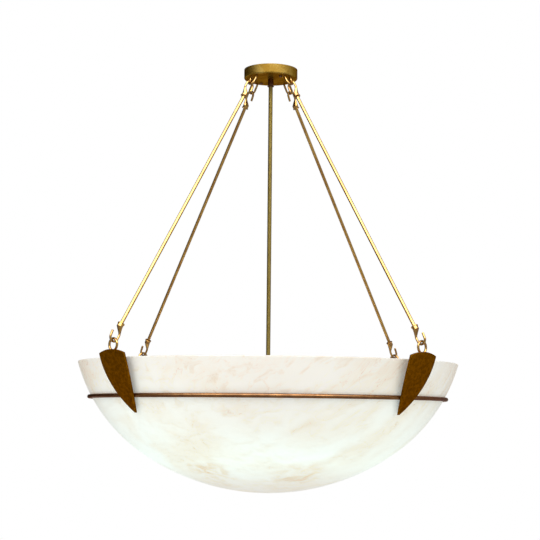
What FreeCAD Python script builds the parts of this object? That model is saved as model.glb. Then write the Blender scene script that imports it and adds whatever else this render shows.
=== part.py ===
import FreeCAD, Part
import math
import os
import re

import Sketcher
from FreeCAD import Placement, Rotation, Vector

# A stone bowl pendant. The origin is the centre of the canopy's ceiling face and +Z is up, so
# every height is negative. Pieces that repeat round the stem are drawn in the vertical plane
# through +X and turned about Z to their corner.

# Driving sizes, in millimetres and degrees. A "drop" is measured down from the ceiling.
SIZES = {
    # canopy: a shallow drum, open to the ceiling
    "canopy_radius": 66,
    "canopy_depth": 23.5,
    "canopy_wall": 2,
    "canopy_round": 3.2,
    # crossbar that the ceiling box carries
    "crossbar_azimuth": -57,
    "crossbar_length": 106,
    "crossbar_width": 20,
    "crossbar_thickness": 2.6,
    "crossbar_gap": 0.6,
    "crossbar_round": 6.5,
    "box_screw_circle": 69.85,
    "box_screw_hole_radius": 2.4,
    "earth_screw_distance": 19,
    # screws that hold the canopy up to the crossbar
    "canopy_screw_circle": 88.9,
    "screw_radius": 2,
    "screw_hole_radius": 2.4,
    "screw_head_radius": 4.2,
    "screw_head_height": 2.6,
    "screw_head_round": 1.8,
    "screw_slot_width": 1,
    "screw_slot_depth": 1.1,
    "screw_end_gap": 0.5,
    "screw_turn": 40,
    "earth_screw_length": 9,
    # threaded hanger tube on the centre line, and its nuts
    "nipple_radius": 4.9,
    "nipple_bore": 3.3,
    "nipple_engagement": 9,
    "locknut_flats": 15,
    "locknut_height": 3,
    "locknut_turn": 10,
    "fit_gap": 0.05,
    # collar and tube under the canopy
    "coupling_radius": 7,
    "coupling_length": 19,
    "coupling_bead_radius": 8.2,
    "coupling_bead_height": 3,
    "coupling_bead_round": 1.35,
    "stem_radius": 5.15,
    "stem_wall": 1.4,
    "stem_socket": 7,
    # wire loops under the canopy
    "first_azimuth": 45,
    "loop_wire_radius": 2.5,
    "loop_half_width": 8.75,
    "loop_leg_inset": 9.5,
    "loop_elbow_gap": 2.8,
    "loop_elbow": 6,
    "loop_thread": 8,
    "loop_nut_flats": 8,
    "loop_nut_height": 3.2,
    "loop_nut_turn": 30,
    # pivots: where the rods hang, and where they carry the claws
    "pivot_overhang": 3.9,
    "pivot_below_canopy": 24,
    "pivot_above_rim": 38.9,
    "upper_play": 0.3,
    "lower_play": 1,
    # rods, and the hook on each end
    "rod_radius": 3.95,
    "rod_socket": 9,
    "hook_wire_radius": 2.6,
    "hook_bend": 10,
    "hook_elbow": 9,
    "hook_root_elbow": 3,
    "hook_neck": 12,
    "hook_tail_height": 11.5,
    "hook_tail_flare": 1.6,
    "hook_tip_round": 1.7,
    "ferrule_radius": 7,
    "ferrule_neck_radius": 3.1,
    "ferrule_neck": 15.5,
    "ferrule_shoulder": 27,
    "ferrule_mouth": 36.5,
    "ferrule_lip_radius": 8.2,
    "ferrule_lip_height": 2.4,
    "ferrule_lip_round": 0.95,
    # bowl: an arc for the bottom, which turns by the shoulder's angle, and a tighter one above
    "rim_radius": 457.2,
    "rim_drop": 727.4,
    "rim_lean": 16.1,
    "bowl_shoulder_angle": 34.8,
    "bowl_drop": 1036.5,
    "bowl_wall": 9.5,
    "rim_round": 2,
    # ring under the bowl's wall, at an angle below the level of the wall arc's centre
    "ring_wire_radius": 4.75,
    "ring_angle": 28.92,
    "seat_gap": 0.3,
    # claws: bent plates cut to a shield
    "claw_bend": 369,
    "claw_lean": 4.65,
    "claw_thickness": 6,
    "claw_saddle": 1,
    "claw_above_rim": 15.4,
    "claw_shoulder": 8,
    "claw_half_width": 42,
    "claw_below_ring": 38,
    "claw_flank_radius": 205,
    "claw_edge": 0.8,
    # eyes on the claws
    "eye_wire_radius": 2.75,
    "eye_radius": 13.2,
    "eye_seat": 1.2,
    # lamp cluster inside the bowl
    "cluster_clearance": 72,
    "cluster_radius": 23,
    "cluster_height": 26,
    "cluster_wall": 1.6,
    "cluster_round": 3,
    "cluster_hub_radius": 8,
    "cluster_hub_height": 9,
    "cluster_hub_round": 1,
    "cap_radius": 24.5,
    "cap_height": 9,
    "cap_wall": 1.6,
    "finial_radius": 8,
    "finial_height": 15,
    "finial_collar": 5.2,
    "finial_neck_radius": 6.4,
    "finial_neck": 1.6,
    "finial_shoulder": 11.2,
    "finial_round": 3,
    "finial_edge": 1.2,
    "cluster_nipple_engagement": 7.5,
    "arm_radius": 4.75,
    "arm_wall": 1,
    "arm_inset": 5,
    "arm_reach": 150,
    "arm_elbow": 32,
    "arm_height": 46,
    "socket_radius": 17.5,
    "socket_height": 46,
    "socket_foot_radius": 9,
    "socket_foot_height": 9,
    "socket_flare": 6,
    "socket_shoulder_round": 3,
    "socket_edge": 1,
    "socket_cup": 7,
    "lamp_cap_radius": 13,
    "lamp_cap_depth": 22,
    "lamp_radius": 30,
    "lamp_height": 82,
    "lamp_neck_radius": 14,
    "lamp_neck_height": 12,
    "lamp_flank_radius": 61.5,
    "lamp_play": 0.4,
    # how far a cutting shape runs past what it cuts
    "overrun": 1,
}

# Places closer than this are one place, in millimetres.
NEAR = 0.001

# A sketch's numbers for the ends of a line or arc, for a centre, and for its own two axes.
# The origin is the start of the level axis.
START, END, CENTRE = 1, 2, 3
LEVEL_AXIS, UPRIGHT_AXIS = -1, -2

# Turns, in degrees, and the sides of a nut.
FULL_TURN, HALF_TURN, QUARTER_TURN = 360, 180, 90
NUT_SIDES = 6

# Formulas that several pieces share. Every word in them is a size from the table above.
UPPER_PIVOT_X = "(canopy_radius + pivot_overhang)"
UPPER_PIVOT_Z = "(-canopy_depth - pivot_below_canopy)"
LOWER_PIVOT_Z = "(-rim_drop + pivot_above_rim)"
RIM_ACROSS = "(cos(rim_lean) - sin(bowl_shoulder_angle))"
RIM_UP = "(cos(bowl_shoulder_angle) - sin(rim_lean))"
FLOOR_UP = "(1 - cos(bowl_shoulder_angle))"
BOTH_ARCS = f"(sin(bowl_shoulder_angle) * {RIM_UP} - {FLOOR_UP} * {RIM_ACROSS})"
BOWL_DEPTH = "(bowl_drop - rim_drop)"
FLOOR_BEND = f"((rim_radius * {RIM_UP} - {BOWL_DEPTH} * {RIM_ACROSS}) / {BOTH_ARCS})"
WALL_BEND = f"((sin(bowl_shoulder_angle) * {BOWL_DEPTH} - {FLOOR_UP} * rim_radius) / {BOTH_ARCS})"
BOWL_WALL_X = f"(rim_radius - {WALL_BEND} * cos(rim_lean))"
BOWL_WALL_Z = f"(-rim_drop + {WALL_BEND} * sin(rim_lean))"
RING_ARM = f"({WALL_BEND} + ring_wire_radius + seat_gap)"
RING_X = f"({BOWL_WALL_X} + {RING_ARM} * cos(ring_angle))"
RING_Z = f"({BOWL_WALL_Z} - {RING_ARM} * sin(ring_angle))"
CLAW_ARM = "(claw_bend - ring_wire_radius + claw_saddle)"
CLAW_TILT = "(claw_lean + ring_angle)"
CLAW_X = f"({RING_X} - {CLAW_ARM} * cos({CLAW_TILT}))"
CLAW_Z = f"({RING_Z} + {CLAW_ARM} * sin({CLAW_TILT}))"
CLAW_TOP_Z = "(-rim_drop + claw_above_rim)"
CLAW_TIP_Z = f"({RING_Z} - claw_below_ring)"
# The crown passes both shoulders and the top. The uncut plate leaves the flanks room to bulge.
CLAW_CROWN = "((claw_half_width^2 + claw_shoulder^2) / (2 * claw_shoulder))"
CLAW_BLANK = "(claw_half_width * 2)"
EYE_Z = f"({LOWER_PIVOT_Z} - eye_radius)"
EYE_FOOT_Z = f"({EYE_Z} - eye_radius)"
LOWER_PIVOT_X = (
    f"({CLAW_X} + sqrt(claw_bend^2 - ({CLAW_Z} - {EYE_FOOT_Z})^2)"
    " - eye_wire_radius + eye_seat)"
)
ROD_RUN = f"({LOWER_PIVOT_X} - {UPPER_PIVOT_X})"
ROD_FALL = f"({UPPER_PIVOT_Z} - {LOWER_PIVOT_Z})"
ROD_SPAN = f"sqrt({ROD_RUN}^2 + {ROD_FALL}^2)"
ROD_LEAN = f"atan2({ROD_RUN}; {ROD_FALL})"
LOOP_LEG_X = "(canopy_radius - loop_leg_inset)"
LOOP_ELBOW_Z = "(-canopy_depth - loop_elbow_gap)"
UPPER_HOOK_SHIFT = "(hook_bend - hook_wire_radius - loop_wire_radius - upper_play)"
LOWER_HOOK_SHIFT = "(hook_bend - hook_wire_radius - eye_wire_radius - lower_play)"
CANOPY_INSIDE_Z = "(-canopy_depth + canopy_wall)"
CROSSBAR_Z = "(-crossbar_gap - crossbar_thickness)"
COUPLING_FOOT_Z = "(-canopy_depth - coupling_length)"
BOWL_FLOOR_Z = "(-bowl_drop + bowl_wall)"
CLUSTER_FOOT_Z = f"({BOWL_FLOOR_Z} + cluster_clearance + finial_height + cap_height)"
CLUSTER_TOP_Z = f"({CLUSTER_FOOT_Z} + cluster_height)"
ARM_Z = f"({CLUSTER_FOOT_Z} + cluster_height / 2)"
ARM_TOP_Z = f"({ARM_Z} + arm_height)"
SOCKET_TOP_Z = f"({ARM_TOP_Z} - socket_cup + socket_height)"

# The four corners, counted from the first one anticlockwise seen from above.
CORNERS = ["rear_right", "rear_left", "front_left", "front_right"]

doc = FreeCAD.newDocument("BowlPendant")
sheet = doc.addObject("Spreadsheet::Sheet", "Sizes")
for row, (alias, size) in enumerate(SIZES.items(), start=1):
    sheet.set(f"A{row}", str(size))
    sheet.setAlias(f"A{row}", alias)
doc.recompute()
parts = []


def cells(formula):
    """The formula with every size written as its cell in the sheet."""
    return re.sub(r"[a-z_]+", lambda m: f"Sizes.{m[0]}" if m[0] in SIZES else m[0], formula)


def value(formula):
    """What the formula comes to now."""
    result = sheet.evalExpression(formula)
    return float(getattr(result, "Value", result))


def bind(thing, prop, formula):
    """Tie one property of an object to a formula of the sizes."""
    thing.setExpression(prop, cells(formula))


def azimuth_of(corner):
    return f"(first_azimuth + {FULL_TURN / len(CORNERS) * CORNERS.index(corner)})"


def place(thing, x="0", y="0", z="0", turns=()):
    """Put a sub-part at a place, with turns (axis, angle) taken from the outermost inwards."""
    spin = " * ".join(f"rotation(vector({axis}); {angle})" for axis, angle in turns)
    spin = spin or "rotation(vector(0; 0; 1); 0)"
    bind(thing, "Placement", f"placement(vector({x}; {y}; {z}); {spin})")


def turn_to(thing, azimuth):
    """Turn a piece that is drawn over +X about the stem."""
    place(thing, turns=[("0; 0; 1", azimuth)])


def keep(thing, label):
    """Name a finished sub-part and put it on the list that is written."""
    thing.Label = label
    parts.append(thing)
    return thing


def new_body(label):
    return keep(doc.addObject("PartDesign::Body", label), label)


def new_sketch(body, name, role="XZ_Plane", offset=None):
    """A sketch on one of the body's own planes, moved off it along its normal."""
    plane = next(f for f in body.Origin.OriginFeatures if f.Role == role)
    sketch = body.newObject("Sketcher::SketchObject", name)
    sketch.AttachmentSupport = [(plane, "")]
    sketch.MapMode = "FlatFace"
    if offset:
        bind(sketch, "AttachmentOffset.Base.z", offset)
    return sketch


def hold(sketch, kind, items, formula):
    """A dimension whose value is a formula of the sizes."""
    index = sketch.addConstraint(Sketcher.Constraint(kind, *items, value(formula)))
    bind(sketch, f"Constraints[{index}]", formula)


def pin(sketch, item, end, x, y):
    """Hold one end of a line or arc, or a centre, at (x, y)."""
    hold(sketch, "DistanceX", (LEVEL_AXIS, START, item, end), x)
    hold(sketch, "DistanceY", (LEVEL_AXIS, START, item, end), y)


def tie(sketch, kind, *items):
    sketch.addConstraint(Sketcher.Constraint(kind, *items))


def add_line(sketch, start, end, construction=False):
    line = Part.LineSegment(Vector(*start, 0), Vector(*end, 0))
    return sketch.addGeometry(line, construction)


def add_circle(sketch, x, y, radius):
    """A circle held by its centre and radius."""
    circle = Part.Circle(Vector(value(x), value(y), 0), Vector(0, 0, 1), value(radius))
    item = sketch.addGeometry(circle, False)
    pin(sketch, item, CENTRE, x, y)
    hold(sketch, "Radius", (item,), radius)
    return item


def add_arc(sketch, centre, start, end, clockwise=False):
    """An arc from start to end. Returns it with the numbers of its first and last ends."""
    arms = [(p[0] - centre[0], p[1] - centre[1]) for p in (start, end)]
    first, last = (math.atan2(arm[1], arm[0]) for arm in arms)
    if clockwise:
        first, last = last, first
    if last < first:
        last += 2 * math.pi
    circle = Part.Circle(Vector(*centre, 0), Vector(0, 0, 1), math.hypot(*arms[0]))
    item = sketch.addGeometry(Part.ArcOfCircle(circle, first, last), False)
    return (item, END, START) if clockwise else (item, START, END)


def add_bulge(sketch, start, end, radius):
    """An arc under half a turn between two places, its radius positive where it turns left.
    A place is a pair of formulas."""
    x0, y0, x1, y1, size = (value(v) for v in (*start, *end, radius))
    chord = math.hypot(x1 - x0, y1 - y0)
    rise = math.copysign(math.sqrt(size**2 - chord**2 / 4), size)
    centre = (
        (x0 + x1) / 2 - rise * (y1 - y0) / chord,
        (y0 + y1) / 2 + rise * (x1 - x0) / chord,
    )
    item, first, last = add_arc(sketch, centre, (x0, y0), (x1, y1), clockwise=size < 0)
    pin(sketch, item, first, *start)
    pin(sketch, item, last, *end)
    hold(sketch, "Radius", (item,), radius if size > 0 else f"-({radius})")
    return item, first, last


def add_outline(sketch, corners, closed=True):
    """Straight lines through corners (x, y), where a third formula rounds a corner by a
    tangent arc of that radius."""
    spots = [(value(c[0]), value(c[1])) for c in corners]
    count = len(corners)
    entry, leave = list(spots), list(spots)
    for i, corner in enumerate(corners):
        if len(corner) < 3:
            continue
        here = Vector(*spots[i], 0)
        back = (Vector(*spots[i - 1], 0) - here).normalize()
        ahead = (Vector(*spots[(i + 1) % count], 0) - here).normalize()
        reach = value(corner[2]) / math.tan(back.getAngle(ahead) / 2)
        entry[i] = tuple(here + back * reach)[:2]
        leave[i] = tuple(here + ahead * reach)[:2]
    runs = range(count if closed else count - 1)
    lines = [add_line(sketch, leave[i], entry[(i + 1) % count]) for i in runs]
    for i, corner in enumerate(corners):
        before = lines[i - 1] if closed or i > 0 else None
        after = lines[i] if i < len(lines) else None
        if len(corner) == 3:
            round_corner(sketch, before, after, spots[i], entry[i], leave[i], corner)
            continue
        if before is not None and after is not None:
            tie(sketch, "Coincident", before, END, after, START)
        item, end = (after, START) if after is not None else (before, END)
        pin(sketch, item, end, corner[0], corner[1])
    return lines


def round_corner(sketch, before, after, spot, start, end, corner):
    """Join two lines by a tangent arc, and hold the corner where they would meet."""
    ahead = Vector(end[0] - spot[0], end[1] - spot[1], 0)
    back = Vector(start[0] - spot[0], start[1] - spot[1], 0)
    radius = value(corner[2])
    inward = (ahead + back).normalize()
    centre = Vector(*spot, 0) + inward * math.hypot(radius, back.Length)
    clockwise = back.cross(ahead).z > 0
    item, first, last = add_arc(sketch, (centre.x, centre.y), start, end, clockwise)
    tie(sketch, "Tangent", before, END, item, first)
    tie(sketch, "Tangent", item, last, after, START)
    hold(sketch, "Radius", (item,), corner[2])
    point = sketch.addGeometry(Part.Point(Vector(*spot, 0)), True)
    pin(sketch, point, START, corner[0], corner[1])
    tie(sketch, "PointOnObject", point, START, before)
    tie(sketch, "PointOnObject", point, START, after)


def revolve(body, sketch, kind="Revolution", axis="V_Axis"):
    """Turn a sketch right round an axis of its own."""
    feature = body.newObject(f"PartDesign::{kind}", f"{sketch.Name}Turned")
    feature.Profile = (sketch, [""])
    feature.ReferenceAxis = (sketch, [axis])
    feature.Angle = FULL_TURN
    return feature


def turned(body, name, corners, kind="Revolution"):
    """A solid of revolution about the body's Z axis, from the corners of its half section."""
    sketch = new_sketch(body, name)
    add_outline(sketch, corners)
    return revolve(body, sketch, kind)


def pad(body, sketch, length, symmetric=False, backwards=False):
    feature = body.newObject("PartDesign::Pad", f"{sketch.Name}Padded")
    feature.Profile = (sketch, [""])
    bind(feature, "Length", length)
    if symmetric:
        feature.SideType = "Symmetric"
    feature.Reversed = backwards
    return feature


def cut_through(body, sketch):
    """Cut a sketch's shape right through the body, both ways."""
    feature = body.newObject("PartDesign::Pocket", f"{sketch.Name}Cut")
    feature.Profile = (sketch, [""])
    feature.SideType = "Symmetric"
    feature.Type = "ThroughAll"
    return feature


def drill(body, name, holes, role="XY_Plane"):
    """Round holes (x, y, radius) right through the body."""
    sketch = new_sketch(body, name, role)
    for hole in holes:
        add_circle(sketch, *hole)
    return cut_through(body, sketch)


def spread(body, feature):
    """Repeat a feature at the four corners."""
    pattern = body.newObject("PartDesign::PolarPattern", f"{feature.Name}AtCorners")
    pattern.Originals = [feature]
    pattern.Axis = (feature.Profile[0], ["N_Axis"])
    pattern.Angle = FULL_TURN
    pattern.Occurrences = len(CORNERS)
    body.Tip = pattern
    return pattern


def sweep(body, path, section):
    """A wire or tube: the section carried along every edge of the path."""
    doc.recompute()
    pipe = body.newObject("PartDesign::AdditivePipe", f"{path.Name}Swept")
    pipe.Profile = (section, [""])
    pipe.Spine = (path, [f"Edge{i + 1}" for i in range(len(path.Shape.Edges))])
    return pipe


def edges_where(feature, test):
    """The names of the feature's edges that pass a test."""
    doc.recompute()
    edges = enumerate(feature.Shape.Edges, start=1)
    return [f"Edge{i}" for i, edge in edges if test(edge)]


def fillet(body, feature, names, radius):
    rounded = body.newObject("PartDesign::Fillet", f"{feature.Name}Rounded")
    rounded.Base = (feature, names)
    bind(rounded, "Radius", radius)
    return rounded


def group(label, pieces):
    """Identical fasteners as one sub-part of separate solids."""
    compound = doc.addObject("Part::Compound", label)
    compound.Links = pieces
    return keep(compound, label)


def nut(name, flats, height, bore, x, y, z, azimuth="0"):
    """A hexagon nut with its lower face at (x, y, z)."""
    outside = doc.addObject("Part::Prism", f"{name}Hexagon")
    outside.Polygon = NUT_SIDES
    bind(outside, "Circumradius", f"{flats} / 2 / cos({HALF_TURN / NUT_SIDES})")
    bind(outside, "Height", height)
    hole = doc.addObject("Part::Cylinder", f"{name}Bore")
    bind(hole, "Radius", bore)
    bind(hole, "Height", height)
    solid = doc.addObject("Part::Cut", name)
    solid.Base = outside
    solid.Tool = hole
    place(solid, x, y, z, [("0; 0; 1", azimuth)])
    return solid


def screw(name, length):
    """A round-head screw, head down, with the underside of its head at its own origin."""
    body = doc.addObject("PartDesign::Body", name)
    turned(
        body,
        "ScrewProfile",
        [
            ("0", "-screw_head_height"),
            ("screw_head_radius", "-screw_head_height", "screw_head_round"),
            ("screw_head_radius", "0"),
            ("screw_radius", "0"),
            ("screw_radius", length),
            ("0", length),
        ],
    )
    slot = new_sketch(body, "ScrewSlot", "XY_Plane", "-screw_head_height")
    half = "screw_slot_width / 2"
    far = "screw_head_radius + overrun"
    add_outline(
        slot,
        [
            (f"-({far})", f"-{half}"),
            (far, f"-{half}"),
            (far, half),
            (f"-({far})", half),
        ],
    )
    cut = body.newObject("PartDesign::Pocket", "SlotCut")
    cut.Profile = (slot, [""])
    cut.Reversed = True
    bind(cut, "Length", "screw_slot_depth")
    return body


def polar(radius, azimuth):
    return f"{radius} * cos({azimuth})", f"{radius} * sin({azimuth})"


def leg_places(corner):
    """Where a loop's two legs pass through the canopy."""
    azimuth = azimuth_of(corner)
    along = polar(LOOP_LEG_X, azimuth)
    across = polar("loop_half_width", f"({azimuth} + {QUARTER_TURN})")
    return [(f"{along[0]} {s} {across[0]}", f"{along[1]} {s} {across[1]}") for s in "+-"]


def make_canopy():
    body = new_body("canopy")
    inner = "(canopy_radius - canopy_wall)"
    turned(
        body,
        "CanopyProfile",
        [
            ("0", "-canopy_depth"),
            ("canopy_radius", "-canopy_depth", "canopy_round"),
            ("canopy_radius", "0"),
            (inner, "0"),
            (inner, CANOPY_INSIDE_Z, "(canopy_round - canopy_wall / 2)"),
            ("0", CANOPY_INSIDE_Z),
        ],
    )
    half = "(canopy_screw_circle / 2)"
    screws = [polar(f"{sign}{half}", "crossbar_azimuth") for sign in ("", "-")]
    drill(
        body,
        "CentreAndScrewHoles",
        [("0", "0", "nipple_radius + fit_gap")]
        + [(*spot, "screw_hole_radius") for spot in screws],
    )
    legs = leg_places(CORNERS[0])
    holes = drill(body, "LegHoles", [(*spot, "loop_wire_radius + fit_gap") for spot in legs])
    spread(body, holes)


def make_crossbar():
    body = new_body("mounting_crossbar")
    outline = new_sketch(body, "BarOutline", "XY_Plane", CROSSBAR_Z)
    along, across = "crossbar_length / 2", "crossbar_width / 2"
    add_outline(
        outline,
        [
            (f"-{along}", f"-{across}", "crossbar_round"),
            (along, f"-{across}", "crossbar_round"),
            (along, across, "crossbar_round"),
            (f"-{along}", across, "crossbar_round"),
        ],
    )
    pad(body, outline, "crossbar_thickness")
    thread = "screw_radius + fit_gap"
    holes = [("0", "0", "nipple_radius + fit_gap"), ("earth_screw_distance", "0", thread)]
    for sign in ("", "-"):
        holes.append((f"{sign}canopy_screw_circle / 2", "0", thread))
        holes.append((f"{sign}box_screw_circle / 2", "0", "box_screw_hole_radius"))
    drill(body, "BarHoles", holes)
    turn_to(body, "crossbar_azimuth")


def make_screws():
    half = "(canopy_screw_circle / 2)"
    length = "canopy_depth - crossbar_gap - screw_end_gap"
    pair = []
    for index, sign in enumerate(("", "-")):
        body = screw(f"CanopyScrew{index}", length)
        x, y = polar(f"{sign}{half}", "crossbar_azimuth")
        place(body, x, y, "-canopy_depth", [("0; 0; 1", "crossbar_azimuth + screw_turn")])
        pair.append(body)
    group("canopy_screws", pair)
    earth = keep(screw("EarthScrew", "earth_screw_length"), "earth_screw")
    x, y = polar("earth_screw_distance", "crossbar_azimuth")
    place(earth, x, y, f"{CROSSBAR_Z} - earth_screw_length + crossbar_thickness")


def make_hanger():
    """The threaded tube that carries the stem, and its two lock nuts."""
    body = new_body("hanger_nipple")
    foot = "(-canopy_depth - nipple_engagement)"
    turned(
        body,
        "NippleProfile",
        [
            ("nipple_bore", foot),
            ("nipple_radius", foot),
            ("nipple_radius", "-crossbar_gap"),
            ("nipple_bore", "-crossbar_gap"),
        ],
    )
    size = ("locknut_flats", "locknut_height", "nipple_radius + fit_gap", "0", "0")
    group(
        "nipple_locknuts",
        [
            nut("CrossbarNut", *size, f"{CROSSBAR_Z} - locknut_height", "crossbar_azimuth"),
            nut("CanopyNut", *size, CANOPY_INSIDE_Z, "crossbar_azimuth + locknut_turn"),
        ],
    )


def make_coupling():
    body = new_body("stem_coupling")
    bead_top = f"{COUPLING_FOOT_Z} + coupling_bead_height"
    stem_stop = f"{COUPLING_FOOT_Z} + stem_socket"
    nipple_stop = "(-canopy_depth - nipple_engagement)"
    turned(
        body,
        "CouplingProfile",
        [
            ("nipple_radius + fit_gap", "-canopy_depth"),
            ("nipple_radius + fit_gap", nipple_stop),
            ("nipple_bore", nipple_stop),
            ("nipple_bore", stem_stop),
            ("stem_radius + fit_gap", stem_stop),
            ("stem_radius + fit_gap", COUPLING_FOOT_Z),
            ("coupling_bead_radius", COUPLING_FOOT_Z, "coupling_bead_round"),
            ("coupling_bead_radius", bead_top, "coupling_bead_round"),
            ("coupling_radius", bead_top),
            ("coupling_radius", "-canopy_depth"),
        ],
    )


def make_stem():
    body = new_body("stem_tube")
    sketch = new_sketch(body, "StemSection", "XY_Plane", CLUSTER_TOP_Z)
    add_circle(sketch, "0", "0", "stem_radius")
    add_circle(sketch, "0", "0", "stem_radius - stem_wall")
    pad(body, sketch, f"{COUPLING_FOOT_Z} + stem_socket - {CLUSTER_TOP_Z}")


def tangent_wire(points):
    """A path of straight runs (place, bend radius) joined by tangent arcs."""
    edges = []
    last = points[0][0]
    for (before, _), (here, radius), (after, _) in zip(points, points[1:], points[2:]):
        back = (before - here).normalize()
        ahead = (after - here).normalize()
        half = back.getAngle(ahead) / 2
        start = here + back * (radius / math.tan(half))
        end = here + ahead * (radius / math.tan(half))
        inward = (back + ahead).normalize()
        middle = here + inward * (radius / math.sin(half) - radius)
        if (start - last).Length > NEAR:
            edges.append(Part.LineSegment(last, start).toShape())
        edges.append(Part.Arc(start, middle, end).toShape())
        last = end
    edges.append(Part.LineSegment(last, points[-1][0]).toShape())
    return Part.Wire(edges)


def make_loop(corner):
    """A wire bent to a U: its legs come straight down out of the canopy, lean out towards the
    rod, and join in a half round that the rod's hook hangs on."""
    half = value("loop_half_width")
    wire_radius = value("loop_wire_radius")
    pivot = Vector(value(UPPER_PIVOT_X), 0, value(UPPER_PIVOT_Z))
    top = Vector(value(LOOP_LEG_X), 0, value(CANOPY_INSIDE_Z) + value("loop_thread"))
    elbow = Vector(value(LOOP_LEG_X), 0, value(LOOP_ELBOW_Z))
    side = Vector(0, half, 0)
    bend = value("loop_elbow")
    path = tangent_wire(
        [
            (top + side, 0),
            (elbow + side, bend),
            (pivot + side, half),
            (pivot - side, half),
            (elbow - side, bend),
            (top - side, 0),
        ]
    )
    section = Part.Wire([Part.Circle(top + side, Vector(0, 0, 1), wire_radius).toShape()])
    loop = doc.addObject("Part::Feature", f"canopy_loop_{corner}")
    loop.Shape = path.makePipeShell([section], True, False)
    loop.Placement = Placement(Vector(), Rotation(Vector(0, 0, 1), value(azimuth_of(corner))))
    keep(loop, f"canopy_loop_{corner}")


def make_loop_nuts():
    nuts = []
    for corner in CORNERS:
        for index, (x, y) in enumerate(leg_places(corner)):
            nuts.append(
                nut(
                    f"LoopNut_{corner}_{index}",
                    "loop_nut_flats",
                    "loop_nut_height",
                    "loop_wire_radius + fit_gap",
                    x,
                    y,
                    CANOPY_INSIDE_Z,
                    f"{azimuth_of(corner)} + loop_nut_turn",
                )
            )
    group("loop_nuts", nuts)


def make_hook(label):
    """A hook in its own frame: the bend's centre is the origin, the rod lies on +Z, and the
    wire runs down on the -X side, round under the origin and up to a free tail."""
    body = new_body(label)
    path = new_sketch(body, "WirePath")
    inside = "(ferrule_mouth - rod_socket + overrun)"
    lines = add_outline(
        path,
        [
            ("0", inside),
            ("0", "ferrule_shoulder", "hook_root_elbow"),
            ("-hook_bend", "hook_neck", "hook_elbow"),
            ("-hook_bend", "0"),
        ],
        closed=False,
    )
    bend = value("hook_bend")
    tail = (bend + value("hook_tail_flare"), value("hook_tail_height"))
    lean = 2 * math.atan2(tail[0] - bend, tail[1])
    leave = (bend * math.cos(lean), -bend * math.sin(lean))
    arc, first, last = add_arc(path, (0, 0), (-bend, 0), leave)
    tie(path, "Coincident", lines[-1], END, arc, first)
    tie(path, "Coincident", LEVEL_AXIS, START, arc, CENTRE)
    end = add_line(path, leave, tail)
    tie(path, "Tangent", arc, last, end, START)
    pin(path, end, END, "hook_bend + hook_tail_flare", "hook_tail_height")
    section = new_sketch(body, "WireSection", "XY_Plane", inside)
    add_circle(section, "0", "0", "hook_wire_radius")
    wire = sweep(body, path, section)
    tip = Vector(tail[0], 0, tail[1])
    names = edges_where(wire, lambda e: (e.CenterOfMass - tip).Length < NEAR)
    fillet(body, wire, names, "hook_tip_round")
    make_ferrule(body)
    return body


def make_ferrule(body):
    """The socket that the rod sits in: a straight mouth with a rolled lip, and a cone that
    leans over to the hook's wire."""
    neck = new_sketch(body, "FerruleNeck", "XY_Plane", "ferrule_neck")
    lean = "(ferrule_neck - hook_neck) / (ferrule_shoulder - hook_neck)"
    add_circle(neck, f"-hook_bend * (1 - {lean})", "0", "ferrule_neck_radius")
    shoulder = new_sketch(body, "FerruleShoulder", "XY_Plane", "ferrule_shoulder")
    add_circle(shoulder, "0", "0", "ferrule_radius")
    cone = body.newObject("PartDesign::AdditiveLoft", "FerruleCone")
    cone.Profile = (neck, [""])
    cone.Sections = [(shoulder, [""])]
    lip = "(ferrule_mouth - ferrule_lip_height)"
    turned(
        body,
        "FerruleMouth",
        [
            ("0", "ferrule_shoulder"),
            ("ferrule_radius", "ferrule_shoulder"),
            ("ferrule_radius", lip),
            ("ferrule_lip_radius", lip, "ferrule_lip_round"),
            ("ferrule_lip_radius", "ferrule_mouth", "ferrule_lip_round"),
            ("0", "ferrule_mouth"),
        ],
    )
    stop = "(ferrule_mouth - rod_socket)"
    turned(
        body,
        "RodSocket",
        [
            ("0", stop),
            ("rod_radius + fit_gap", stop),
            ("rod_radius + fit_gap", "ferrule_mouth + overrun"),
            ("0", "ferrule_mouth + overrun"),
        ],
        "Groove",
    )


def make_suspension(corner):
    """One rod with a hook at each end, from its pivot under the canopy to the claw's eye."""
    azimuth = azimuth_of(corner)
    out = ("0; 0; 1", azimuth)
    lean = ("0; 1; 0", f"-{ROD_LEAN}")

    def put(piece, back, turns):
        radius = f"({UPPER_PIVOT_X} + {back} * sin({ROD_LEAN}))"
        x, y = polar(radius, azimuth)
        place(piece, x, y, f"{UPPER_PIVOT_Z} - {back} * cos({ROD_LEAN})", turns)

    upper = make_hook(f"upper_hook_{corner}")
    put(upper, UPPER_HOOK_SHIFT, [out, lean, ("0; 1; 0", f"{HALF_TURN}")])
    lower = make_hook(f"lower_hook_{corner}")
    put(lower, f"({ROD_SPAN} - {LOWER_HOOK_SHIFT})", [out, lean])

    rod = new_body(f"rod_{corner}")
    section = new_sketch(rod, "RodSection", "XY_Plane")
    add_circle(section, "0", "0", "rod_radius")
    inset = "(ferrule_mouth - rod_socket)"
    head = f"({UPPER_HOOK_SHIFT} + {inset})"
    pad(rod, section, f"{ROD_SPAN} - {head} - {LOWER_HOOK_SHIFT} - {inset}", backwards=True)
    put(rod, head, [out, lean])


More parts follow.
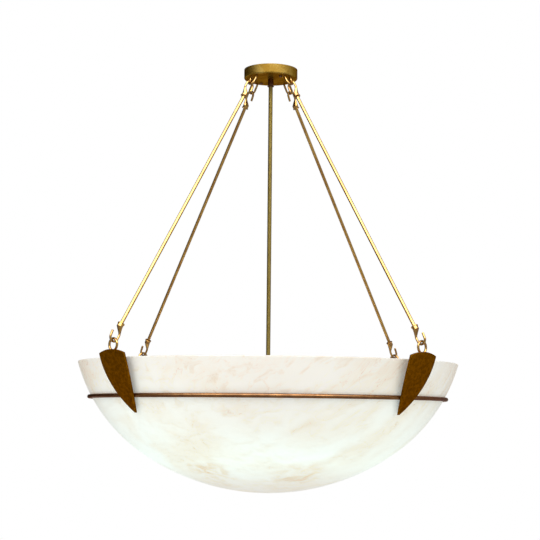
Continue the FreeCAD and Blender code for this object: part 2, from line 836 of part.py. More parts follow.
def make_bowl():
    body = new_body("bowl")
    sketch = new_sketch(body, "BowlProfile")
    wall_x, wall_z = value(BOWL_WALL_X), value(BOWL_WALL_Z)
    wall_bend, bottom_bend, thickness = value(WALL_BEND), value(FLOOR_BEND), value("bowl_wall")
    bottom, rim = -value("bowl_drop"), (value("rim_radius"), -value("rim_drop"))
    centre = (0, bottom + bottom_bend)
    turn = math.radians(value("bowl_shoulder_angle"))
    away = (math.sin(turn), -math.cos(turn))
    meet = (away[0] * bottom_bend, centre[1] + away[1] * bottom_bend)
    inner = bottom_bend - thickness
    inner_meet = (away[0] * inner, centre[1] + away[1] * inner)
    rim_reach = math.sqrt((wall_bend - thickness) ** 2 - (wall_z - rim[1]) ** 2)
    inner_rim = (wall_x + rim_reach, rim[1])

    # outside: the wall's arc hangs from the rim, and the bottom's arc is tangent to it
    wall, wall_foot, wall_top = add_arc(sketch, (wall_x, wall_z), meet, rim)
    floor, floor_start, floor_end = add_arc(sketch, centre, (0, bottom), meet)
    pin(sketch, wall, CENTRE, BOWL_WALL_X, BOWL_WALL_Z)
    hold(sketch, "Radius", (wall,), WALL_BEND)
    hold(sketch, "DistanceY", (LEVEL_AXIS, START, wall, wall_top), "-rim_drop")
    tie(sketch, "Tangent", floor, floor_end, wall, wall_foot)
    tie(sketch, "PointOnObject", floor, CENTRE, UPRIGHT_AXIS)
    tie(sketch, "PointOnObject", floor, floor_start, UPRIGHT_AXIS)
    hold(sketch, "DistanceY", (LEVEL_AXIS, START, floor, floor_start), "-bowl_drop")

    # inside: the same centres, one wall thickness in
    inside, inside_foot, inside_top = add_arc(sketch, (wall_x, wall_z), inner_meet, inner_rim)
    dish, dish_start, dish_end = add_arc(sketch, centre, (0, bottom + thickness), inner_meet)
    tie(sketch, "Coincident", inside, CENTRE, wall, CENTRE)
    tie(sketch, "Coincident", dish, CENTRE, floor, CENTRE)
    hold(sketch, "Radius", (inside,), f"{WALL_BEND} - bowl_wall")
    hold(sketch, "DistanceY", (LEVEL_AXIS, START, inside, inside_top), "-rim_drop")
    tie(sketch, "Coincident", dish, dish_end, inside, inside_foot)
    tie(sketch, "PointOnObject", dish, dish_start, UPRIGHT_AXIS)
    spoke = add_line(sketch, centre, meet, construction=True)
    tie(sketch, "Coincident", spoke, START, floor, CENTRE)
    tie(sketch, "Coincident", spoke, END, floor, floor_end)
    tie(sketch, "PointOnObject", dish, dish_end, spoke)

    top = add_line(sketch, rim, inner_rim)
    tie(sketch, "Coincident", top, START, wall, wall_top)
    tie(sketch, "Coincident", top, END, inside, inside_top)
    middle = add_line(sketch, (0, bottom + thickness), (0, bottom))
    tie(sketch, "Coincident", middle, START, dish, dish_start)
    tie(sketch, "Coincident", middle, END, floor, floor_start)

    bowl = revolve(body, sketch)
    names = edges_where(
        bowl, lambda e: e.BoundBox.ZMin > rim[1] - NEAR and e.BoundBox.XLength > rim[0]
    )
    fillet(body, bowl, names, "rim_round")


def make_ring():
    ring = doc.addObject("Part::Torus", "support_ring")
    bind(ring, "Radius1", RING_X)
    bind(ring, "Radius2", "ring_wire_radius")
    place(ring, z=RING_Z)
    keep(ring, "support_ring")


def make_claw(corner):
    """A thick plate, bent to lean with the bowl's wall and cut to a shield with a sharp point.
    Its back has a saddle for the ring and a seat for the foot of the eye."""
    body = new_body(f"claw_{corner}")
    side = new_sketch(body, "SideProfile")
    above, below = f"({CLAW_TOP_Z} + overrun)", f"({CLAW_TIP_Z} - overrun)"
    outer_bend = "(claw_bend + claw_thickness)"

    def across(bend, z):
        return f"({CLAW_X} + sqrt({bend}^2 - ({CLAW_Z} - {z})^2))"

    back_top, back_foot = across("claw_bend", above), across("claw_bend", below)
    face_top, face_foot = across(outer_bend, above), across(outer_bend, below)
    add_bulge(side, (back_foot, below), (back_top, above), "claw_bend")
    add_bulge(side, (face_foot, below), (face_top, above), outer_bend)
    for x, z, other in ((back_top, above, face_top), (back_foot, below, face_foot)):
        line = add_line(side, (value(x), value(z)), (value(other), value(z)))
        pin(side, line, START, x, z)
        pin(side, line, END, other, z)
    pad(body, side, f"{CLAW_BLANK} * 2", symmetric=True)

    # the shield is what is left inside this outline
    shield = new_sketch(body, "Shield", "YZ_Plane")
    wide, shoulder = "claw_half_width", f"({CLAW_TOP_Z} - claw_shoulder)"
    beside = f"({CLAW_BLANK} + overrun)"
    over, under = f"{CLAW_TOP_Z} + overrun * 2", f"{CLAW_TIP_Z} - overrun * 2"
    add_outline(
        shield,
        [(f"-{beside}", under), (beside, under), (beside, over), (f"-{beside}", over)],
    )
    add_bulge(shield, (wide, shoulder), (f"-{wide}", shoulder), CLAW_CROWN)
    add_bulge(shield, (f"-{wide}", shoulder), ("0", CLAW_TIP_Z), "claw_flank_radius")
    add_bulge(shield, ("0", CLAW_TIP_Z), (wide, shoulder), "claw_flank_radius")
    cut = cut_through(body, shield)
    outline = edges_where(cut, lambda e: e.Length > value("claw_thickness * 2"))
    fillet(body, cut, outline, "claw_edge")

    saddle = new_sketch(body, "RingSaddle")
    add_circle(saddle, RING_X, RING_Z, "ring_wire_radius + fit_gap")
    revolve(body, saddle, "Groove")
    seat = new_sketch(body, "EyeSeat")
    add_circle(seat, LOWER_PIVOT_X, EYE_FOOT_Z, "eye_wire_radius + fit_gap")
    middle = add_line(seat, (0, value(EYE_Z)), (value(LOWER_PIVOT_X), value(EYE_Z)), True)
    pin(seat, middle, START, "0", EYE_Z)
    pin(seat, middle, END, LOWER_PIVOT_X, EYE_Z)
    revolve(body, seat, "Groove", "Axis0")
    turn_to(body, azimuth_of(corner))


def make_eye(corner):
    eye = doc.addObject("Part::Torus", f"claw_eye_{corner}")
    bind(eye, "Radius1", "eye_radius")
    bind(eye, "Radius2", "eye_wire_radius")
    azimuth = azimuth_of(corner)
    x, y = polar(LOWER_PIVOT_X, azimuth)
    place(eye, x, y, EYE_Z, [("0; 0; 1", azimuth), ("0; 1; 0", f"{QUARTER_TURN}")])
    keep(eye, f"claw_eye_{corner}")


def make_cluster():
    """The cup that the lamp arms screw into, with a hub for the stem, and its nipple, cap and
    finial."""
    body = new_body("cluster_body")
    inner = "(cluster_radius - cluster_wall)"
    ceiling = f"({CLUSTER_TOP_Z} - cluster_wall)"
    hub_top = f"({CLUSTER_TOP_Z} + cluster_hub_height)"
    turned(
        body,
        "CupProfile",
        [
            ("nipple_radius + fit_gap", CLUSTER_TOP_Z),
            ("stem_radius + fit_gap", CLUSTER_TOP_Z),
            ("stem_radius + fit_gap", hub_top),
            ("cluster_hub_radius", hub_top, "cluster_hub_round"),
            ("cluster_hub_radius", CLUSTER_TOP_Z),
            ("cluster_radius", CLUSTER_TOP_Z, "cluster_round"),
            ("cluster_radius", CLUSTER_FOOT_Z),
            (inner, CLUSTER_FOOT_Z),
            (inner, ceiling, "(cluster_round - cluster_wall)"),
            ("nipple_radius + fit_gap", ceiling),
        ],
    )
    for index, role in enumerate(("XZ_Plane", "YZ_Plane")):
        drill(body, f"ArmHoles{index}", [("0", ARM_Z, "arm_radius + fit_gap")], role)
    turn_to(body, "first_azimuth")

    cap = new_body("cluster_cap")
    under = f"({CLUSTER_FOOT_Z} - cap_height)"
    turned(
        cap,
        "CapProfile",
        [
            ("nipple_radius + fit_gap", under),
            ("cap_radius / 2", under, "cap_height"),
            ("cap_radius", CLUSTER_FOOT_Z),
            ("cap_radius - cap_wall * 2", CLUSTER_FOOT_Z),
            ("cap_radius / 2", f"{under} + cap_wall", "cap_height - cap_wall"),
            ("nipple_radius + fit_gap", f"{under} + cap_wall"),
        ],
    )

    nipple = new_body("cluster_nipple")
    foot = f"({under} - cluster_nipple_engagement)"
    turned(
        nipple,
        "ClusterNippleProfile",
        [
            ("nipple_bore", foot),
            ("nipple_radius", foot),
            ("nipple_radius", CLUSTER_TOP_Z),
            ("nipple_bore", CLUSTER_TOP_Z),
        ],
    )

    finial = new_body("cluster_finial")
    thread = "nipple_radius + fit_gap"
    turned(
        finial,
        "FinialProfile",
        [
            (thread, under),
            ("finial_radius", under, "finial_edge"),
            ("finial_radius", f"{under} - finial_collar", "finial_edge"),
            ("finial_neck_radius", f"{under} - finial_collar - finial_neck"),
            ("finial_neck_radius", f"{under} - finial_shoulder", "finial_round"),
            ("0", f"{under} - finial_height"),
            ("0", foot),
            (thread, foot),
        ],
    )


def make_lamp(corner):
    """One bent arm with its socket and lamp."""
    arm = new_body(f"lamp_arm_{corner}")
    path = new_sketch(arm, "ArmPath")
    start = "(cluster_radius - arm_inset)"
    add_outline(
        path,
        [(start, ARM_Z), ("arm_reach", ARM_Z, "arm_elbow"), ("arm_reach", ARM_TOP_Z)],
        closed=False,
    )
    section = new_sketch(arm, "ArmSection", "YZ_Plane", start)
    add_circle(section, "0", ARM_Z, "arm_radius")
    add_circle(section, "0", ARM_Z, "arm_radius - arm_wall")
    sweep(arm, path, section)
    azimuth = azimuth_of(corner)
    turn_to(arm, azimuth)
    x, y = polar("arm_reach", azimuth)

    socket = new_body(f"lamp_socket_{corner}")
    base = f"({ARM_TOP_Z} - socket_cup)"
    seat = f"({SOCKET_TOP_Z} - lamp_cap_depth - lamp_play)"
    waist = f"({base} + socket_foot_height)"
    turned(
        socket,
        "SocketProfile",
        [
            ("arm_radius + fit_gap", base),
            ("socket_foot_radius", base, "socket_edge"),
            ("socket_foot_radius", waist),
            ("socket_radius", f"{waist} + socket_flare", "socket_shoulder_round"),
            ("socket_radius", SOCKET_TOP_Z, "socket_edge"),
            ("lamp_cap_radius + lamp_play", SOCKET_TOP_Z),
            ("lamp_cap_radius + lamp_play", seat),
            ("0", seat),
            ("0", ARM_TOP_Z),
            ("arm_radius + fit_gap", ARM_TOP_Z),
        ],
    )
    place(socket, x, y)

    lamp = new_body(f"lamp_{corner}")
    cap_foot = f"({SOCKET_TOP_Z} - lamp_cap_depth)"
    sketch = new_sketch(lamp, "LampProfile")
    neck_z = f"({SOCKET_TOP_Z} + lamp_neck_height)"
    top_z = f"({SOCKET_TOP_Z} + lamp_height)"
    globe_z = f"({top_z} - lamp_radius)"
    points = [
        ("0", top_z),
        ("0", cap_foot),
        ("lamp_cap_radius", cap_foot),
        ("lamp_cap_radius", SOCKET_TOP_Z),
        ("lamp_neck_radius", neck_z),
    ]
    for start_spot, end_spot in zip(points, points[1:]):
        line = add_line(sketch, [value(v) for v in start_spot], [value(v) for v in end_spot])
        pin(sketch, line, START, *start_spot)
        pin(sketch, line, END, *end_spot)
    add_bulge(sketch, points[-1], ("lamp_radius", globe_z), "-lamp_flank_radius")
    add_bulge(sketch, ("lamp_radius", globe_z), ("0", top_z), "lamp_radius")
    revolve(lamp, sketch)
    place(lamp, x, y)


make_canopy()
make_crossbar()
make_screws()
make_hanger()
make_coupling()
make_stem()
make_loop_nuts()
make_cluster()
make_bowl()
make_ring()
for corner_name in CORNERS:
    make_loop(corner_name)
    make_suspension(corner_name)
    make_claw(corner_name)
    make_eye(corner_name)
    make_lamp(corner_name)
doc.recompute()

for thing in doc.Objects:
    if {"Invalid", "Error"} & set(thing.State):
        raise RuntimeError(f"{thing.Label} failed: {thing.State}")
for part in parts:
    if part.Shape.isNull() or not part.Shape.isValid() or not part.Shape.Solids:
        raise RuntimeError(f"{part.Label} has no valid solid")

os.makedirs("parts", exist_ok=True)
for part in parts:
    part.Shape.exportStep(f"parts/{part.Label}.step")
    solids = len(part.Shape.Solids)
    print(f"{part.Label}: {solids} solid, {part.Shape.Volume / 1000:.2f} cm3")
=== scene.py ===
import math

import bpy
from mathutils import Matrix, Vector


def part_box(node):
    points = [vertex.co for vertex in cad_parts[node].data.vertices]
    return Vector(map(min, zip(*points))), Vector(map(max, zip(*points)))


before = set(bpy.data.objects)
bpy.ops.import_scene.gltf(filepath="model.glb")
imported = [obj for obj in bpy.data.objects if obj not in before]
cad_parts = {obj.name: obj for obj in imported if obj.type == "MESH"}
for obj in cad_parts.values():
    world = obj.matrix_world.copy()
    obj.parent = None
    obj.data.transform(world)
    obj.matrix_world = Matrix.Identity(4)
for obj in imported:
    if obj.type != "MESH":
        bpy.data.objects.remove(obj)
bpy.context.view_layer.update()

# The photograph's camera, found from the rim, the ring, the rods and the canopy.
CAMERA_RIGHT = 0.014
CAMERA_DISTANCE = 3.2706
CAMERA_DROP = 0.8564
CAMERA_PITCH = 0.1089
CAMERA_YAW = -0.0035
CAMERA_ROLL = 0.0095
CAMERA_LENS_MM = 89.81
SENSOR_MM = 36.0

FLOOR_DROP = 2.3
FLOOR_WIDTH = 14.0

# What the lamps face, and how brightly metal sees the high windows in front of the object.
STUDIO_MIDDLE = (0.0, 0.0, -0.6)
WINDOW_LEVEL = 9.0
# Metal sees the walls darken, as they turn away from this direction, between these levels.
BRIGHT_WALL = (0.6, -0.8, 0.0)
WALL_LEVELS = (0.03, 0.95)
ROOM_LEVEL = 0.6

CORNERS = [n.removeprefix("claw_eye_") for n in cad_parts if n.startswith("claw_eye_")]

# A colour mix's factor, colours and result, by number, because its names repeat.
MIX_FACTOR, MIX_FIRST, MIX_SECOND, MIX_RESULT = 0, 6, 7, 2

# What brass reflects when it is seen along its surface: still gold, not white.
EDGE_HUE = "C09048"

# The grain of tarnish specks on brass, in mm, and the gloss of the wax over it.
SPECK_MM = 1.8
WAX_ROUGHNESS = 0.16

# The alabaster's clouds, veins and wisps, in mm. Their grain is drawn out, and it rises to the
# right at this slope, as seen from the front.
CLOUD_MM = 95.0
VEIN_MM = 48.0
WISP_MM = 24.0
GRAIN_STRETCH = 3.2
GRAIN_TURN = 0.2
VEIN_SLOPE = math.radians(38)
# How far from a lamp's middle the stone still glows, and how near it glows in full.
GLOW_FAR = 0.36
GLOW_NEAR = 0.17
# Two warm tan patches in the stone, low on the front of the bowl, and how far they reach.
TAN_PATCHES = ((-0.134, -0.202, -0.974), (0.075, -0.208, -0.983))
TAN_PATCH_REACH = 0.085
# The stone thickens from this height to the foot, and passes less light.
FOOT_TOP = -0.955
FOOT_BOTTOM = -1.035
# The glow is light that has come through the stone, so the inner face, which the lamps light
# straight on, has little of it. Faces that look away from the centre are the outer ones.
BOWL_CENTRE = (0.0, 0.0, -0.55)
INNER_GLOW = 0.1


def tone(code):
    """An sRGB hex colour as the linear values that a shader takes."""
    shares = [int(code[i : i + 2], 16) / 255 for i in (0, 2, 4)]
    return [s / 12.92 if s <= 0.04045 else ((s + 0.055) / 1.055) ** 2.4 for s in shares] + [1.0]


def cells(size_mm):
    """The scale at which a texture's cells are that wide."""
    return 1000.0 / size_mm


def add(tree, kind, sockets=None, **settings):
    """Add a node: its settings by name, and its inputs by name or number, each a value or a link."""
    made = tree.nodes.new(f"ShaderNode{kind}")
    for name, value in settings.items():
        setattr(made, name, value)
    for name, value in (sockets or {}).items():
        if isinstance(value, bpy.types.NodeSocket):
            tree.links.new(value, made.inputs[name])
        else:
            made.inputs[name].default_value = value
    return made


def start(name):
    """A new material with an empty tree, and the place of each point on the piece at rest."""
    made = bpy.data.materials.new(name)
    made.use_nodes = True
    made.node_tree.nodes.clear()
    place = add(made.node_tree, "TexCoord").outputs["Object"]
    return made, made.node_tree, place


def aged_brass(name, rubbed, body, tarnish, cloud_mm, roughness, coat):
    """Brass, darkened by hand: brown-gold, a little paler where it is rubbed, with fine specks of
    tarnish. It is duller where the patina is thick, and a coat of wax gives it a clear gloss."""
    made, tree, place = start(name)
    cloud = add(
        tree, "TexNoise", {"Vector": place, "Scale": cells(cloud_mm), "Detail": 4.0, "Distortion": 0.5}
    ).outputs["Fac"]
    worn = add(
        tree,
        "MapRange",
        {"Value": cloud, "From Min": 0.34, "From Max": 0.68},
        interpolation_type="SMOOTHSTEP",
    ).outputs["Result"]
    specks = add(
        tree, "TexNoise", {"Vector": place, "Scale": cells(SPECK_MM), "Detail": 2.0}
    ).outputs["Fac"]
    dark = add(
        tree,
        "MapRange",
        {"Value": specks, "From Min": 0.56, "From Max": 0.74, "To Max": 0.7},
        interpolation_type="SMOOTHSTEP",
    ).outputs["Result"]
    metal = add(
        tree,
        "Mix",
        {MIX_FACTOR: worn, MIX_FIRST: tone(body), MIX_SECOND: tone(rubbed)},
        data_type="RGBA",
    ).outputs[MIX_RESULT]
    colour = add(
        tree,
        "Mix",
        {MIX_FACTOR: dark, MIX_FIRST: metal, MIX_SECOND: tone(tarnish)},
        data_type="RGBA",
    ).outputs[MIX_RESULT]
    gloss = add(
        tree,
        "MapRange",
        {"Value": worn, "To Min": roughness + 0.10, "To Max": roughness},
    ).outputs["Result"]
    bump = add(tree, "Bump", {"Strength": 0.10, "Distance": 0.0003, "Height": specks})
    shader = add(
        tree,
        "BsdfPrincipled",
        {
            "Base Color": colour,
            "Metallic": 1.0,
            "Specular Tint": tone(EDGE_HUE),
            "Roughness": gloss,
            "Normal": bump.outputs["Normal"],
            "Coat Weight": coat,
            "Coat Roughness": WAX_ROUGHNESS,
        },
    )
    add(tree, "OutputMaterial", {"Surface": shader.outputs[0]})
    return made


def alabaster():
    """Alabaster, turned and polished: milky cream stone with beige clouds, thin slanting veins and
    two warm tan patches low on the front. It is painted to glow a cool white where the lamps stand
    behind it, and stays cream towards the rim."""
    made, tree, place = start("lit_alabaster")
    # Painted light: the stone's emission, strongest near each lamp, stands in for the lamps' light shining
    # through it.
    glow = None
    for corner in CORNERS:
        low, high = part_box(f"lamp_{corner}")
        away = add(
            tree, "VectorMath", {0: place, 1: (low + high) / 2}, operation="DISTANCE"
        ).outputs["Value"]
        near = add(
            tree,
            "MapRange",
            {"Value": away, "From Min": GLOW_FAR, "From Max": GLOW_NEAR},
            interpolation_type="SMOOTHSTEP",
        ).outputs["Result"]
        glow = near if glow is None else add(tree, "Math", {0: glow, 1: near}, operation="ADD").outputs[0]
    glow = add(tree, "Math", {0: glow, 1: 1.0}, operation="MINIMUM").outputs[0]
    height = add(tree, "SeparateXYZ", {"Vector": place}).outputs["Z"]
    passed = add(
        tree,
        "MapRange",
        {"Value": height, "From Min": FOOT_BOTTOM, "From Max": FOOT_TOP, "To Min": 0.15},
        interpolation_type="SMOOTHSTEP",
    ).outputs["Result"]
    glow = add(tree, "Math", {0: glow, 1: passed}, operation="MULTIPLY").outputs[0]
    # Painted light: the wisps are drawn fainter where the painted glow is bright, as if the light through
    # the stone washed them out.
    wisps_fainter_where_lit = add(tree, "MapRange", {"Value": glow, "To Min": 0.55, "To Max": 0.28}).outputs["Result"]
    grain = add(
        tree,
        "Mapping",
        {"Vector": place, "Rotation": (0.0, -VEIN_SLOPE, GRAIN_TURN), "Scale": (GRAIN_STRETCH, 1.0, 1.0)},
        vector_type="TEXTURE",
    ).outputs["Vector"]
    clouds = add(
        tree,
        "TexNoise",
        {"Vector": grain, "Scale": cells(CLOUD_MM), "Detail": 5.0, "Roughness": 0.6, "Distortion": 0.4},
    ).outputs["Fac"]
    cloudy = add(
        tree,
        "MapRange",
        {"Value": clouds, "From Min": 0.38, "From Max": 0.70},
        interpolation_type="SMOOTHSTEP",
    ).outputs["Result"]
    wisps = add(
        tree,
        "TexNoise",
        {"Vector": grain, "Scale": cells(WISP_MM), "Detail": 6.0, "Roughness": 0.62, "Distortion": 0.8},
    ).outputs["Fac"]
    wispy = add(
        tree,
        "MapRange",
        {"Value": wisps, "From Min": 0.48, "From Max": 0.72, "To Max": wisps_fainter_where_lit},
        interpolation_type="SMOOTHSTEP",
    ).outputs["Result"]
    ridges = add(
        tree,
        "TexNoise",
        {"Vector": grain, "Scale": cells(VEIN_MM), "Detail": 4.0, "Distortion": 1.8},
    ).outputs["Fac"]
    off_ridge = add(tree, "Math", {0: ridges, 1: 0.5}, operation="SUBTRACT").outputs[0]
    beside = add(tree, "Math", {0: off_ridge}, operation="ABSOLUTE").outputs[0]
    veins = add(
        tree,
        "MapRange",
        {"Value": beside, "From Min": 0.012, "From Max": 0.0, "To Max": 0.5},
        interpolation_type="SMOOTHSTEP",
    ).outputs["Result"]
    veiny = add(tree, "Math", {0: veins, 1: cloudy}, operation="MULTIPLY").outputs[0]
    stone = tone("F1EEE6")
    for share, hue in ((cloudy, "EDE2D2"), (wispy, "DFCCB2"), (veiny, "BE9C7C")):
        stone = add(
            tree,
            "Mix",
            {MIX_FACTOR: share, MIX_FIRST: stone, MIX_SECOND: tone(hue)},
            data_type="RGBA",
        ).outputs[MIX_RESULT]
    # Two warm tan patches, low on the front of the bowl, mottled by the wisps.
    tan_patches = None
    for patch_middle in TAN_PATCHES:
        away = add(tree, "VectorMath", {0: place, 1: patch_middle}, operation="DISTANCE").outputs["Value"]
        near = add(
            tree,
            "MapRange",
            {"Value": away, "From Min": TAN_PATCH_REACH, "From Max": 0.0},
            interpolation_type="SMOOTHSTEP",
        ).outputs["Result"]
        tan_patches = near if tan_patches is None else add(tree, "Math", {0: tan_patches, 1: near}, operation="ADD").outputs[0]
    blotchy = add(
        tree, "MapRange", {"Value": wisps, "From Min": 0.34, "From Max": 0.60, "To Max": 0.9}
    ).outputs["Result"]
    tan_patches = add(tree, "Math", {0: tan_patches, 1: blotchy}, operation="MULTIPLY").outputs[0]
    stone = add(
        tree,
        "Mix",
        {MIX_FACTOR: tan_patches, MIX_FIRST: stone, MIX_SECOND: tone("DABB96")},
        data_type="RGBA",
    ).outputs[MIX_RESULT]
    # Painted light: the emission's colour, cool white near the lamps and dim grey elsewhere, times the
    # stone's colour.
    shine = add(
        tree,
        "Mix",
        {MIX_FACTOR: glow, MIX_FIRST: tone("6E7074"), MIX_SECOND: tone("A2BEC4")},
        data_type="RGBA",
    ).outputs[MIX_RESULT]
    shine = add(
        tree,
        "Mix",
        {MIX_FACTOR: 1.0, MIX_FIRST: shine, MIX_SECOND: stone},
        data_type="RGBA",
        blend_type="MULTIPLY",
    ).outputs[MIX_RESULT]
    outward = add(tree, "VectorMath", {0: place, 1: BOWL_CENTRE}, operation="SUBTRACT").outputs[0]
    normal = add(tree, "TexCoord").outputs["Normal"]
    turned = add(
        tree, "VectorMath", {0: normal, 1: outward}, operation="DOT_PRODUCT"
    ).outputs["Value"]
    lit = add(
        tree,
        "MapRange",
        {"Value": turned, "From Min": -0.05, "From Max": 0.05, "To Min": INNER_GLOW},
    ).outputs["Result"]
    shader = add(
        tree,
        "BsdfPrincipled",
        {
            "Base Color": stone,
            "Roughness": 0.40,
            "IOR": 1.52,
            "Emission Color": shine,
            "Emission Strength": lit,
        },
    )
    add(tree, "OutputMaterial", {"Surface": shader.outputs[0]})
    return made


def zinc_plated_steel(name, hue):
    """Mild steel with a thin zinc plating: pale grey, a little cloudy, with a satin gloss."""
    made, tree, place = start(name)
    cloud = add(tree, "TexNoise", {"Vector": place, "Scale": cells(6.0), "Detail": 3.0}).outputs["Fac"]
    deep = [share * 0.72 for share in tone(hue)[:3]] + [1.0]
    colour = add(
        tree, "Mix", {MIX_FACTOR: cloud, MIX_FIRST: tone(hue), MIX_SECOND: deep}, data_type="RGBA"
    ).outputs[MIX_RESULT]
    shader = add(
        tree, "BsdfPrincipled", {"Base Color": colour, "Metallic": 1.0, "Roughness": 0.38}
    )
    add(tree, "OutputMaterial", {"Surface": shader.outputs[0]})
    return made


def glazed_porcelain():
    """Glazed porcelain, the lamp sockets' stuff: a warm white with a clear gloss."""
    made, tree, place = start("glazed_porcelain")
    cloud = add(tree, "TexNoise", {"Vector": place, "Scale": cells(14.0), "Detail": 3.0}).outputs["Fac"]
    colour = add(
        tree,
        "Mix",
        {MIX_FACTOR: cloud, MIX_FIRST: tone("ECE8DE"), MIX_SECOND: tone("DED8C9")},
        data_type="RGBA",
    ).outputs[MIX_RESULT]
    shader = add(tree, "BsdfPrincipled", {"Base Color": colour, "Roughness": 0.18, "IOR": 1.5})
    add(tree, "OutputMaterial", {"Surface": shader.outputs[0]})
    return made


def frosted_glass():
    """Frosted lamp glass, lit from inside: warm white, a little uneven where the frosting is thin."""
    made, tree, place = start("frosted_lamp_glass")
    haze = add(tree, "TexNoise", {"Vector": place, "Scale": cells(30.0), "Detail": 3.0}).outputs["Fac"]
    shine = add(
        tree,
        "Mix",
        {MIX_FACTOR: haze, MIX_FIRST: tone("FFF6E2"), MIX_SECOND: tone("FFEFCF")},
        data_type="RGBA",
    ).outputs[MIX_RESULT]
    shader = add(
        tree,
        "BsdfPrincipled",
        {
            "Base Color": tone("F4F0E6"),
            "Roughness": 0.5,
            "IOR": 1.5,
            "Emission Color": shine,
            "Emission Strength": 1.0,
        },
    )
    add(tree, "OutputMaterial", {"Surface": shader.outputs[0]})
    return made


def dress(material, *names):
    """Give a material to nodes: a name, or the start of the names of the four corners' nodes."""
    for name in names:
        found = [name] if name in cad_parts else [f"{name}_{corner}" for corner in CORNERS]
        for node in found:
            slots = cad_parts[node].data.materials
            slots.clear()
            slots.append(material)


def dress_everything():
    """Every node's material. The brasses differ as castings, drawn rod and bent wire do. The claws' brass is
    painted darker still: painted shade that stands in for the dark floor they reflect.
    """
    dress(
        aged_brass("spun_brass", "A88C48", "866828", "563E12", cloud_mm=30.0, roughness=0.34, coat=0.0),
        "canopy",
    )
    dress(
        aged_brass("drawn_brass", "B08A3C", "9A7028", "5E4418", cloud_mm=40.0, roughness=0.26, coat=1.0),
        "rod",
    )
    dress(
        aged_brass("brass_pipe", "8E7C40", "7A6830", "4E4018", cloud_mm=40.0, roughness=0.30, coat=0.4),
        "stem_tube",
    )
    dress(
        aged_brass("bent_brass_wire", "A8843E", "8A6228", "4A3010", cloud_mm=16.0, roughness=0.28, coat=0.9),
        "canopy_loop",
        "upper_hook",
        "lower_hook",
        "claw_eye",
    )
    dress(
        aged_brass("red_brown_brass", "6A4426", "4C2C1A", "2C180E", cloud_mm=12.0, roughness=0.26, coat=0.4),
        "stem_coupling",
        "canopy_screws",
    )
    dress(
        aged_brass("coppery_brass", "7E5834", "664426", "3E2814", cloud_mm=36.0, roughness=0.36, coat=0.3),
        "support_ring",
    )
    # Painted shade: the claws get a darker brass than the rest, which stands in for the dark floor that they
    # reflect.
    dress(
        aged_brass("claw_brass_painted_shade", "845406", "6A4200", "3E2600", cloud_mm=8.0, roughness=0.48, coat=0.0),
        "claw",
    )
    dress(
        aged_brass("satin_brass", "C8A860", "A88A48", "6E5828", cloud_mm=8.0, roughness=0.30, coat=0.1),
        "cluster_body",
        "cluster_cap",
        "cluster_finial",
        "lamp_arm",
    )
    dress(
        zinc_plated_steel("zinc_plated_steel", "C4C6C8"),
        "mounting_crossbar",
        "hanger_nipple",
        "nipple_locknuts",
        "loop_nuts",
        "cluster_nipple",
    )
    dress(zinc_plated_steel("green_chromated_steel", "3E7A4C"), "earth_screw")
    dress(glazed_porcelain(), "lamp_socket")
    dress(frosted_glass(), "lamp")
    dress(alabaster(), "bowl")


def make_camera():
    """The photograph's camera, looking a little up along +Y."""
    eye = Vector((CAMERA_RIGHT, -CAMERA_DISTANCE, -CAMERA_DROP))
    ahead = Vector(
        (
            math.sin(CAMERA_YAW) * math.cos(CAMERA_PITCH),
            math.cos(CAMERA_YAW) * math.cos(CAMERA_PITCH),
            math.sin(CAMERA_PITCH),
        )
    )
    right = ahead.cross(Vector((0, 0, 1))).normalized()
    up = right.cross(ahead)
    across = math.cos(CAMERA_ROLL) * right + math.sin(CAMERA_ROLL) * up
    over = math.cos(CAMERA_ROLL) * up - math.sin(CAMERA_ROLL) * right
    turn = Matrix((across, over, -ahead)).transposed()
    lens = bpy.data.cameras.new("camera")
    lens.sensor_width = SENSOR_MM
    lens.lens = CAMERA_LENS_MM
    camera = bpy.data.objects.new("camera", lens)
    camera.matrix_world = Matrix.Translation(eye) @ turn.to_4x4()
    bpy.context.scene.collection.objects.link(camera)
    bpy.context.scene.camera = camera


def softbox(name, place, target, width, height, power, hue):
    """A rectangular soft lamp that faces a target. The metal sees the studio's walls instead."""
    lamp = bpy.data.lights.new(name, "AREA")
    lamp.shape = "RECTANGLE"
    lamp.size = width
    lamp.size_y = height
    lamp.energy = power
    lamp.color = tone(hue)[:3]
    holder = bpy.data.objects.new(name, lamp)
    facing = (Vector(target) - Vector(place)).to_track_quat("-Z", "Y")
    holder.matrix_world = Matrix.Translation(place) @ facing.to_matrix().to_4x4()
    holder.visible_glossy = False
    bpy.context.scene.collection.objects.link(holder)


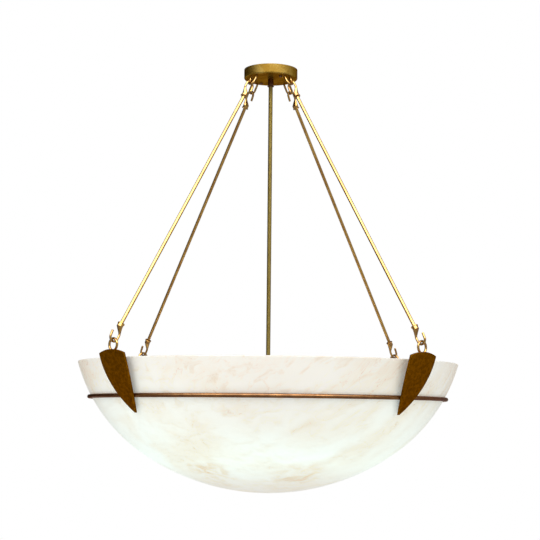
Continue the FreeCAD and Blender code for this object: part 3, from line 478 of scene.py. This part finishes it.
def light_the_studio():
    """Soft light from the left, and the studio that metal shows: a row of high windows in front,
    walls that darken to the left and behind, and the white backdrop straight behind."""
    softbox("key", (-1.5, -2.8, 0.7), STUDIO_MIDDLE, 2.4, 2.0, 38.0, "FFFCF6")
    softbox("fill", (2.2, -2.2, 0.6), STUDIO_MIDDLE, 1.4, 1.6, 15.0, "FFF9EE")
    softbox("back", (0.4, 2.8, 1.0), STUDIO_MIDDLE, 2.0, 1.4, 16.0, "FFFFFF")
    world = bpy.data.worlds.new("studio")
    bpy.context.scene.world = world
    world.use_nodes = True
    tree = world.node_tree
    tree.nodes.clear()
    path = add(tree, "LightPath").outputs
    direction = add(tree, "TexCoord").outputs["Generated"]
    axes = add(tree, "SeparateXYZ", {"Vector": direction}).outputs
    high = add(
        tree,
        "MapRange",
        {"Value": axes["Z"], "From Min": 0.36, "From Max": 0.62, "To Max": WINDOW_LEVEL},
        interpolation_type="SMOOTHSTEP",
    ).outputs["Result"]
    front = add(
        tree,
        "MapRange",
        {"Value": axes["Y"], "From Min": -0.05, "From Max": -0.45},
        interpolation_type="SMOOTHSTEP",
    ).outputs["Result"]
    windows = add(tree, "Math", {0: high, 1: front}, operation="MULTIPLY").outputs[0]
    facing = add(
        tree, "VectorMath", {0: direction, 1: BRIGHT_WALL}, operation="DOT_PRODUCT"
    ).outputs["Value"]
    walls = add(
        tree,
        "MapRange",
        {"Value": facing, "From Min": -1.0, "To Min": WALL_LEVELS[0], "To Max": WALL_LEVELS[1]},
    ).outputs["Result"]
    room = add(tree, "Math", {0: windows, 1: walls}, operation="ADD").outputs[0]
    backdrop = add(
        tree,
        "MapRange",
        {"Value": axes["Y"], "From Min": 0.95, "From Max": 0.995},
        interpolation_type="SMOOTHSTEP",
    ).outputs["Result"]
    level = add(tree, "Math", {0: room, 1: backdrop}, operation="MAXIMUM").outputs[0]
    soft = add(tree, "Background", {"Color": tone("FFFFFF"), "Strength": ROOM_LEVEL})
    studio = add(tree, "Background", {"Color": tone("FFFDF6"), "Strength": level})
    white = add(tree, "Background", {"Color": tone("FFFFFF"), "Strength": 1.0})
    mirrored = add(
        tree,
        "Math",
        {0: path["Is Glossy Ray"], 1: path["Is Transmission Ray"]},
        operation="MAXIMUM",
    ).outputs[0]
    shown = add(
        tree, "MixShader", {"Fac": mirrored, 1: soft.outputs[0], 2: studio.outputs[0]}
    )
    seen = add(
        tree, "MixShader", {"Fac": path["Is Camera Ray"], 1: shown.outputs[0], 2: white.outputs[0]}
    )
    add(tree, "OutputWorld", {"Surface": seen.outputs[0]})


def lay_the_floor():
    """A plain pale floor below the bowl, white in the camera so that it meets the background. Its
    underside is clear, so that the lamp can be seen from below it."""
    half = FLOOR_WIDTH / 2
    mesh = bpy.data.meshes.new("floor")
    corners = [(x * half, y * half, -FLOOR_DROP) for x, y in ((-1, -1), (1, -1), (1, 1), (-1, 1))]
    mesh.from_pydata(corners, [], [(0, 1, 2, 3)])
    floor = bpy.data.objects.new("floor", mesh)
    bpy.context.scene.collection.objects.link(floor)
    made, tree, _ = start("white_paper")
    path = add(tree, "LightPath").outputs
    paper = add(tree, "BsdfDiffuse", {"Color": tone("F2F1EE")})
    glow = add(tree, "Emission", {"Color": tone("FFFFFF"), "Strength": 1.0})
    top = add(
        tree, "MixShader", {"Fac": path["Is Camera Ray"], 1: paper.outputs[0], 2: glow.outputs[0]}
    )
    under = add(tree, "NewGeometry").outputs["Backfacing"]
    clear = add(tree, "BsdfTransparent")
    shader = add(tree, "MixShader", {"Fac": under, 1: top.outputs[0], 2: clear.outputs[0]})
    add(tree, "OutputMaterial", {"Surface": shader.outputs[0]})
    mesh.materials.append(made)


dress_everything()
make_camera()
light_the_studio()
lay_the_floor()
bpy.context.scene.view_settings.view_transform = "Standard"
